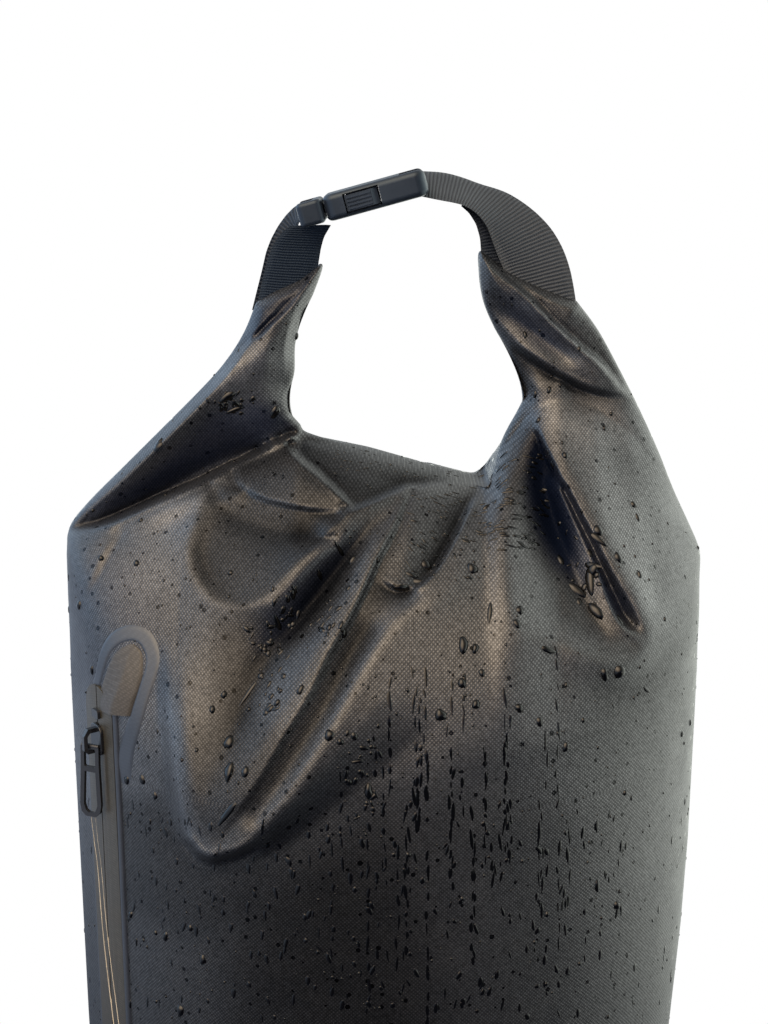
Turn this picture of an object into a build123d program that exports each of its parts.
from build123d import *
import math
import os

# Roll-top dry bag, about 30 litres, closed, with its carry loop buckled. Millimetres.
# Origin: centre of the base's resting face. +Z is up, -Y is the front, +X is the right.

# ---- body ----
BODY_A = 145.0          # half width of the oval tube
BODY_B = 115.0          # half depth of the oval tube
WALL = 2.0              # coated fabric, drawn thick
BODY_STRAIGHT = 440.0   # height of the straight tube
BODY_TOP = 478.0        # top of the closed tube under the rolled collar
TOP_A = BODY_A + 0.5    # half width of the flattened top
TOP_B = 45.0            # half depth of the flattened top
BASE_T = 3.0            # base panel
BASE_GAP = 0.1          # base panel to the tube's inside
BASE_BAND_H = 12.0      # welded band round the base
WELD_GAP = 0.05         # between the tube and whatever is welded on its outside
SEAM_W = 16.0           # lap weld strip down the back

# ---- zip and its pocket ----
ZIP_ANGLE = 60.0        # oval parameter of the zip line, from the front towards the left
ZIP_TOP = 418.0
ZIP_BOTTOM = 200.0
TAPE_HALF = 13.0        # half width of the two tapes together
TAPE_BOTTOM = ZIP_BOTTOM - 12
TAPE_TOP = ZIP_TOP + 18
TAPE_SPLIT = 0.35       # half the gap between the tapes
SLOT_HALF = 4.6         # half width of the tube's slot behind the zip
PATCH_HALF = 25.0
PATCH_BOTTOM, PATCH_TOP = 170.0, 464.0
PATCH_GAP = 0.15        # patch opening to the tapes
COIL_PITCH = 3.2
TOOTH_H = 1.2
COIL_IN, COIL_OUT = -1.75, -0.15   # the coil's depth, outwards from the tube's outside
POUCH_W, POUCH_H, POUCH_R = 118.0, 272.0, 14.0
POUCH_RIM = 2.0         # rim round the pouch's cavity
SLIDER_Z = 411.0
PLATE_IN, PLATE_OUT = 1.35, 2.6    # the slider's outer plate, in depth
BRIDGE_HALF = 1.15      # half width of the slider's bridge
PULL_TWIST = 8.0        # degrees
PULL_OUT = 5.3          # the pull's cross bar, outwards from the tube's outside
PULL_Z = SLIDER_Z - 2.4
PULL_T = 1.8

# ---- rolled collar ----
HINGE_Z = 490.0         # line through both shoulder corners, about which the carry loop flops
FOOT_R = 11.2           # round foot of the collar on that line
COLLAR_HALF_DEPTH = 24.0
STIFFENER_HALF_W, STIFFENER_HALF_T = 5.5, 0.55
STIFFENER_GAP = 0.4     # clearance round the stiffener in its cavity

# ---- webbing and buckle ----
WEB_W = 25.0            # webbing width
WEB_T = 3.0             # doubled webbing
BUCKLE_W = 34.0
BUCKLE_T = 11.5         # female half
MALE_T = 10.6
FEMALE_L = 46.0
MALE_L = 11.4
MALE_CENTRE = -6.3      # middle of the male base along the buckle
SLOT_HALF_W = 13.2      # half width of the web slots
BUCKLE_MOUTH = (-25.8, 639.2)   # x, z of the buckle's mating line
BUCKLE_ANGLE = 15.1     # the buckle's tilt, up to the right
PAST = 10.0             # how far cutters reach to clear the buckle's faces


# ---- shared helpers ----
def polygon(points):
    return make_face(Polyline(*points, close=True))


def rect(x0, x1, y0, y1):
    return Pos((x0 + x1) / 2, (y0 + y1) / 2) * Rectangle(x1 - x0, y1 - y0)


def stadium(half_w, y0, y1):
    """Round-ended strip about x = 0."""
    return Pos(0, (y0 + y1) / 2) * RectangleRounded(2 * half_w, y1 - y0, half_w - 0.001)


def span(side, a, b):
    """The range a to b, mirrored when side is -1."""
    return sorted((side * a, side * b))


def slab(plane, sketch, low, high):
    """A sketch on a plane, extruded from low to high along its normal."""
    return extrude(plane * (Pos(0, 0, low) * sketch), high - low)


def oval(offset, z0, z1):
    """Upright oval prism, offset from the tube's outside."""
    return slab(Plane.XY, Ellipse(BODY_A + offset, BODY_B + offset), z0, z1)


def band(inner, outer, z0, z1):
    """Oval ring between two offsets from the tube's outside."""
    return oval(outer, z0, z1) - oval(inner, z0 - 1, z1 + 1)


# ---- zip frame: x towards the front, y up, z outwards from the tube ----
angle = math.radians(ZIP_ANGLE)
ZIP_POINT = Vector(-BODY_A * math.sin(angle), -BODY_B * math.cos(angle), 0)
OUTWARD = Vector(ZIP_POINT.X / BODY_A ** 2, ZIP_POINT.Y / BODY_B ** 2, 0).normalized()
FORWARD = Vector(-OUTWARD.Y, OUTWARD.X, 0)
ZIP = Plane(origin=ZIP_POINT, x_dir=FORWARD, z_dir=OUTWARD)
# section across the zip: x outwards, y up
ZIP_SIDE = Plane(origin=ZIP_POINT, x_dir=OUTWARD, z_dir=FORWARD * -1)


# ---- body and base ----
def tube_solid(inset, bottom):
    """Straight oval that flattens towards the rolled collar."""
    return oval(-inset, bottom, BODY_STRAIGHT) + loft([
        Pos(0, 0, BODY_STRAIGHT) * Ellipse(BODY_A - inset, BODY_B - inset),
        Pos(0, 0, BODY_TOP - inset) * Ellipse(TOP_A - inset, TOP_B - inset),
    ])


def body_tube():
    """Shell open at the bottom for the base panel, slotted behind the zip."""
    tube = tube_solid(0, 0) - tube_solid(WALL, -1)
    slot = stadium(SLOT_HALF, ZIP_BOTTOM - 6, ZIP_TOP + 10)
    return tube - slab(ZIP, slot, -12, 12)


def base_panel():
    inset = WALL + BASE_GAP
    panel = extrude(Ellipse(BODY_A - inset, BODY_B - inset), BASE_T)
    return fillet(panel.edges().group_by(Axis.Z)[-1], 1.0)


def base_weld_band():
    return band(WELD_GAP, 1.2, 0, BASE_BAND_H)


def back_seam_strip():
    ring = band(WELD_GAP, 0.95, BASE_BAND_H + 0.3, BODY_STRAIGHT - 1)
    return ring & Pos(0, 150, 220) * Box(SEAM_W, 120, 500)


# ---- zip and pocket ----
def pocket_patch():
    opening = stadium(TAPE_HALF + PATCH_GAP, TAPE_BOTTOM - PATCH_GAP, TAPE_TOP + PATCH_GAP)
    shape = stadium(PATCH_HALF, PATCH_BOTTOM, PATCH_TOP) - opening
    patch = band(WELD_GAP, 1.05, 160, 470) & slab(ZIP, shape, -40, 20)
    # the tube leans in above BODY_STRAIGHT, so the patch stops there
    return patch & Pos(0, 0, 300) * Box(400, 400, 2 * (BODY_STRAIGHT - 300))


def zipper_tape(side):
    """One tape: side 1 is the front one, -1 the rear."""
    zone = band(WELD_GAP, 1.25, ZIP_BOTTOM - 14, BODY_STRAIGHT)
    half = rect(*span(side, TAPE_SPLIT, 20), ZIP_BOTTOM - 20, ZIP_TOP + 30)
    shape = stadium(TAPE_HALF, TAPE_BOTTOM, TAPE_TOP) & half
    # the tapes part round the neck of the parked slider
    garage = slab(ZIP, rect(-1.6, 1.6, SLIDER_Z + 1.0, SLIDER_Z + 7.5), -5, 5)
    return (zone & slab(ZIP, shape, -20, 20)) - garage


def zipper_teeth(side, phase):
    """One of the two combs of teeth that mesh behind the tapes."""
    strip = rect(*span(side, 1.55, 3.2), ZIP_BOTTOM, SLIDER_Z - 1.5)
    teeth = []
    y = ZIP_BOTTOM + 1.0 + phase
    while y + TOOTH_H < SLIDER_Z - 2.0:
        tooth = rect(*span(side, -1.1, 1.8), y, y + TOOTH_H)
        teeth.append(slab(ZIP, tooth, COIL_IN + 0.2, COIL_OUT - 0.2))
        y += COIL_PITCH
    return slab(ZIP, strip, COIL_IN, COIL_OUT).fuse(*teeth)


def zip_stop(z, width, height, out):
    return slab(ZIP, Pos(0, z) * RectangleRounded(width, height, 1.0), 1.3, out)


def pocket_liner():
    """Pouch inside the tube, open towards the zip."""
    def layer(inner, outer, rim):
        shape = RectangleRounded(POUCH_W - 2 * rim, POUCH_H - 2 * rim, POUCH_R - rim)
        return band(inner, outer, 150, 436) & slab(ZIP, Pos(12, 293) * shape, -60, 5)

    return layer(-9.0, -WALL - 0.15, 0) - layer(-8.0, 1.0, POUCH_RIM)


# side outlines of the slider's bridge: outwards from the tube, up from SLIDER_Z
BRIDGE_OUTER = [(2.2, -5.8), (6.9, -5.8), (8.7, -4.0), (8.7, 2.6), (6.6, 5.8), (2.2, 5.8)]
BRIDGE_INNER = [
    (2.0, -4.0), (6.3, -4.0), (6.9, -3.4), (6.9, 2.2), (5.6, 3.8), (2.0, 3.8),
]


def zip_slider():
    plate = slab(ZIP, Pos(0, SLIDER_Z) * RectangleRounded(10.4, 14.0, 3.4), PLATE_IN, PLATE_OUT)
    long_edges = plate.edges().filter_by(lambda e: e.length > 3)
    plate = fillet(long_edges.group_by(Axis(ZIP_POINT, OUTWARD))[-1], 0.45)
    neck = slab(ZIP, rect(-1.1, 1.1, SLIDER_Z + 2.2, SLIDER_Z + 6.2), -4.2, 2.0)
    lower = slab(ZIP, Pos(0, SLIDER_Z) * RectangleRounded(8.6, 13.0, 2.6), -4.6, -3.3)

    def arch(outline, half):
        face = polygon([(out, SLIDER_Z + up) for out, up in outline])
        return slab(ZIP_SIDE, face, -half, half)

    bridge = arch(BRIDGE_OUTER, BRIDGE_HALF) - arch(BRIDGE_INNER, BRIDGE_HALF + 1.2)
    return plate + neck + lower + bridge


# pull outlines: across the tab, up from its cross bar
PULL_OUTLINE = [
    (-3.9, 0.45), (3.9, 0.45), (4.5, -0.3), (4.5, -9.0), (5.3, -28.0), (4.6, -31.6),
    (2.6, -33.6), (-2.6, -33.6), (-4.6, -31.6), (-5.3, -28.0), (-4.5, -9.0), (-4.5, -0.3),
]
PULL_SLOT = [
    (-2.7, -12.1), (2.7, -12.1), (3.4, -28.0), (2.4, -30.8),
    (0.9, -31.8), (-0.9, -31.8), (-2.4, -30.8), (-3.4, -28.0),
]


def zip_puller():
    """Open tapered tab on a cross bar that passes under the slider's bridge."""
    cos_t = math.cos(math.radians(PULL_TWIST))
    sin_t = math.sin(math.radians(PULL_TWIST))
    across = FORWARD * cos_t - OUTWARD * sin_t
    normal = OUTWARD * cos_t + FORWARD * sin_t
    centre = ZIP_POINT + OUTWARD * PULL_OUT + Vector(0, 0, PULL_Z)
    eye = Pos(0, -5.45) * RectangleRounded(5.6, 8.7, 0.7)
    face = polygon(PULL_OUTLINE) - eye - polygon(PULL_SLOT)
    tab = slab(Plane(origin=centre, x_dir=across, z_dir=normal), face, -PULL_T / 2, PULL_T / 2)
    bar = Plane(origin=centre, x_dir=(0, 0, 1), z_dir=across) * Cylinder(1.0, 8.4)
    return tab + bar


# ---- rolled collar, seen from the front: x, z ----
LEFT_OUTER = [
    (-143.0, 478.0), (-143.0, 497.5), (-136.9, 505.8), (-117.5, 524.8),
    (-84.2, 557.5), (-61.5, 584.0), (-57.5, 598.0),
]
LOOP_INNER = [
    (-27.5, 612.0), (-29.5, 604.0), (-36.6, 592.0), (-40.4, 579.0), (-42.3, 562.0),
    (-40.8, 548.0), (-35.5, 539.0), (-8.0, 529.5), (24.1, 520.1), (42.0, 516.0),
    (51.0, 521.0), (59.0, 538.0), (65.0, 553.0), (62.9, 566.7), (55.0, 577.0),
    (49.4, 587.0), (44.2, 600.0), (43.2, 617.0),
]
RIGHT_OUTER = [
    (86.0, 599.5), (96.0, 585.0), (107.6, 566.7), (117.5, 548.2),
    (126.6, 529.5), (134.8, 510.5), (142.0, 495.0), (143.0, 478.0),
]
# the collar from the side: y, z
COLLAR_PROFILE = [
    (-10.8, 489), (10.8, 489), (19.5, 500), (16, 540), (9.5, 575), (8.0, 600),
    (7.0, 622), (-7.0, 622), (-8.0, 600), (-9.5, 575), (-16, 540), (-19.5, 500),
]
# centre line of the stiffener strip inside the roll: x, z
STIFFENER_PATH = [
    (-52.0, 580), (-53.8, 571), (-54.5, 555), (-50.0, 537), (-38.0, 525), (-8.0, 516.5),
    (25.0, 507.5), (47.0, 503.5), (62.0, 510), (71.0, 528), (76.5, 550), (74.0, 566),
    (67.0, 580),
]
# the cavity runs a little past both ends of the strip
CAVITY_PATH = [(-51.4, 582.0)] + STIFFENER_PATH[1:-1] + [(65.8, 582.0)]


def strip_along(path, half_w, half_t):
    """A strip that follows a path in the XZ plane, its width along Y."""
    left, right = [], []
    for i, (x, z) in enumerate(path):
        before = path[max(i - 1, 0)]
        after = path[min(i + 1, len(path) - 1)]
        dx, dz = after[0] - before[0], after[1] - before[1]
        scale = half_t / math.hypot(dx, dz)
        left.append((x - dz * scale, z + dx * scale))
        right.append((x + dz * scale, z - dx * scale))
    return slab(Plane.XZ, polygon(left + right[::-1]), -half_w, half_w)


def roll_stiffener():
    return strip_along(STIFFENER_PATH, STIFFENER_HALF_W, STIFFENER_HALF_T)


def rolled_collar():
    """The carry loop's fabric, thicker towards the bag."""
    outline = polygon(LEFT_OUTER + LOOP_INNER + RIGHT_OUTER)
    collar = slab(Plane.XZ, outline, -COLLAR_HALF_DEPTH, COLLAR_HALF_DEPTH)
    # the foot is round about the shoulder line, so it can flop over the top of the tube
    profile = polygon(COLLAR_PROFILE) + Pos(0, HINGE_Z) * Circle(FOOT_R)
    collar = collar & slab(Plane.YZ, profile, -160, 160)
    collar -= strip_along(
        CAVITY_PATH, STIFFENER_HALF_W + STIFFENER_GAP, STIFFENER_HALF_T + STIFFENER_GAP
    )
    # the pockets the webbing is sewn into, left then right
    collar -= Pos(-42.4, 0, 601.0) * Box(27.0, 4.6, 31.4)
    collar -= Pos(66.6, 0, 608.5) * Box(31.4, 9.4, 33.0)
    return collar


# ---- buckle frame: x (u) from the mating line towards the female half, y along Y,
#      z (v) up through the buckle's thickness ----
COS_B = math.cos(math.radians(BUCKLE_ANGLE))
SIN_B = math.sin(math.radians(BUCKLE_ANGLE))
MOUTH = (BUCKLE_MOUTH[0], 0, BUCKLE_MOUTH[1])
ALONG = (COS_B, 0, SIN_B)
BUCKLE = Plane(origin=MOUTH, x_dir=ALONG, z_dir=(-SIN_B, 0, COS_B))
BUCKLE_SIDE = Plane(origin=MOUTH, x_dir=ALONG, z_dir=(0, -1, 0))   # x = u, y = v


def buckle_box(u0, u1, y0, y1, v0, v1):
    return slab(BUCKLE, rect(u0, u1, y0, y1), v0, v1)


def buckle_block(centre, length, thickness, corner, edge):
    """Rounded block the width of the buckle."""
    sketch = Pos(centre, 0) * RectangleRounded(length, BUCKLE_W, corner)
    block = slab(BUCKLE, sketch, -thickness / 2, thickness / 2)
    return fillet(block.edges().filter_by(lambda e: e.length > 20), edge)


def cut_web_bar(block, slot, thinned, half_t):
    """Cuts the web slot, then thins the bar beyond it; both are u ranges."""
    width = (-SLOT_HALF_W, SLOT_HALF_W)
    block -= buckle_box(*slot, *width, -PAST, PAST)
    block -= buckle_box(*thinned, *width, half_t, PAST)
    block -= buckle_box(*thinned, *width, -PAST, -half_t)
    return block


def buckle_female():
    female = buckle_block(FEMALE_L / 2, FEMALE_L, BUCKLE_T, 5.0, 2.6)
    female -= buckle_box(-1, 27.5, -14.3, 14.3, -3.7, 3.7)   # socket
    for side in (-1, 1):
        window = Pos(17, side * 18) * RectangleRounded(16, 14, 1.5)
        female -= slab(BUCKLE, window, -4.3, 4.3)
    return cut_web_bar(female, (35.0, 39.2), (39.0, 50), 2.6)


def buckle_male_base():
    male = buckle_block(MALE_CENTRE, MALE_L, MALE_T, 3.0, 1.8)
    male = cut_web_bar(male, (-8.4, -4.6), (-14, -8.2), 2.2)
    return male + buckle_box(-1.0, 23.5, -2.6, 2.6, -2.0, 2.0)   # guide tongue


# rear prong in plan: u, y
PRONG_ARM = [(0.0, 8.4), (0.0, 11.4), (9.8, 13.9), (9.8, 11.0)]
PRONG_PAD = [
    (9.6, 10.8), (9.6, 14.0), (9.6, 16.2), (21.5, 16.8), (24.2, 15.0), (24.6, 12.6),
    (23.4, 10.8),
]
ARM_HALF_T, PAD_HALF_T, RIDGE_HALF_T = 1.9, 3.5, 0.4


def buckle_prong(side):
    """One prong: side -1 is the front one, 1 the rear."""
    def plan(points):
        return polygon([(u, side * y) for u, y in points])

    arm = slab(BUCKLE, plan(PRONG_ARM), -ARM_HALF_T, ARM_HALF_T)
    pad = slab(BUCKLE, plan(PRONG_PAD), -PAD_HALF_T, PAD_HALF_T)
    # round root, on the line the arm bends about
    root = slab(BUCKLE, Pos(1.2, side * 9.9) * Circle(1.5), -ARM_HALF_T, ARM_HALF_T)
    # four finger ridges along the pad
    ridges = [
        buckle_box(10.4, 21.2, *span(side, 15.6, 17.3), v - RIDGE_HALF_T, v + RIDGE_HALF_T)
        for v in (-2.4, -0.8, 0.8, 2.4)
    ]
    return (arm + pad + root).fuse(*ridges)


# ---- webbing: twisted doubled ribbons, each ending in a loop round a buckle bar ----
# stations: x, z, direction x, direction z, twist in degrees
LEFT_STATIONS = [
    (-42.0, 586.0, 0.0, 1, 90),
    (-42.0, 598.0, 0.0, 1, 90),
    (-42.6, 610.0, 0.0, 1, 88),
    (-43.6, 618.0, 0.05, 1, 68),
    (-43.8, 624.5, 0.25, 1, 40),
    (-42.6, 630.0, 0.6, 0.8, 12),
    (-40.6, 634.2, 0.85, 0.5, 0),
    (-38.4, 635.6, 0.965, 0.26, 0),
]
RIGHT_STATIONS = [
    (19.9, 651.4, 0.965, 0.26, 0),
    (30.0, 653.0, 1, 0.02, 6),
    (41.0, 651.2, 0.95, -0.32, 22),
    (52.0, 645.0, 0.80, -0.60, 44),
    (61.5, 634.5, 0.58, -0.82, 62),
    (67.0, 622.0, 0.30, -0.95, 78),
    (69.0, 608.0, 0.05, -1, 88),
    (68.5, 594.0, -0.08, -1, 90),
]


def ribbon_section(x, z, dir_x, dir_z, twist):
    """Twist 0 puts the ribbon's width along Y, 90 puts it in the XZ plane."""
    length = math.hypot(dir_x, dir_z)
    dir_x, dir_z = dir_x / length, dir_z / length
    turn = math.radians(twist)
    across = (dir_z * math.sin(turn), -math.cos(turn), -dir_x * math.sin(turn))
    plane = Plane(origin=(x, 0, z), x_dir=across, z_dir=(dir_x, 0, dir_z))
    return plane * Rectangle(WEB_W, WEB_T)


def webbing(stations, bar_u, hole_u, hole_v):
    """Ribbon through the stations, and a single-ply loop round the bar at bar_u."""
    def block(du, dv, half_w):
        face = Pos(bar_u, 0) * RectangleRounded(du, dv, min(du, dv) * 0.18)
        return extrude(BUCKLE_SIDE * face, half_w, both=True)

    ribbon = loft([ribbon_section(*station) for station in stations], ruled=True)
    # a ply on each side of the hole adds up to the doubled thickness
    outer = block(hole_u + WEB_T, hole_v + WEB_T, WEB_W / 2 - 0.2)
    return ribbon + (outer - block(hole_u, hole_v, WEB_W))


PARTS = {
    "body_tube": body_tube(),
    "base_panel": base_panel(),
    "base_weld_band": base_weld_band(),
    "back_seam_strip": back_seam_strip(),
    "pocket_patch": pocket_patch(),
    "zipper_tape_front": zipper_tape(1),
    "zipper_tape_rear": zipper_tape(-1),
    "zipper_teeth_front": zipper_teeth(1, 0.0),
    "zipper_teeth_rear": zipper_teeth(-1, COIL_PITCH / 2),
    "zip_top_stop": zip_stop(ZIP_TOP + 5, 6.0, 4.0, 2.6),
    "zip_bottom_stop": zip_stop(ZIP_BOTTOM - 3, 6.2, 4.5, 2.5),
    "pocket_liner": pocket_liner(),
    "zip_slider": zip_slider(),
    "zip_puller": zip_puller(),
    "roll_stiffener": roll_stiffener(),
    "rolled_collar": rolled_collar(),
    "buckle_female": buckle_female(),
    "buckle_male_base": buckle_male_base(),
    "buckle_prong_front": buckle_prong(-1),
    "buckle_prong_rear": buckle_prong(1),
    "webbing_left": webbing(LEFT_STATIONS, -10.2, 4.6, 5.0),
    "webbing_right": webbing(RIGHT_STATIONS, 42.7, 8.0, 6.2),
}

os.makedirs("parts", exist_ok=True)
for name, shape in PARTS.items():
    export_step(shape, f"parts/{name}.step")
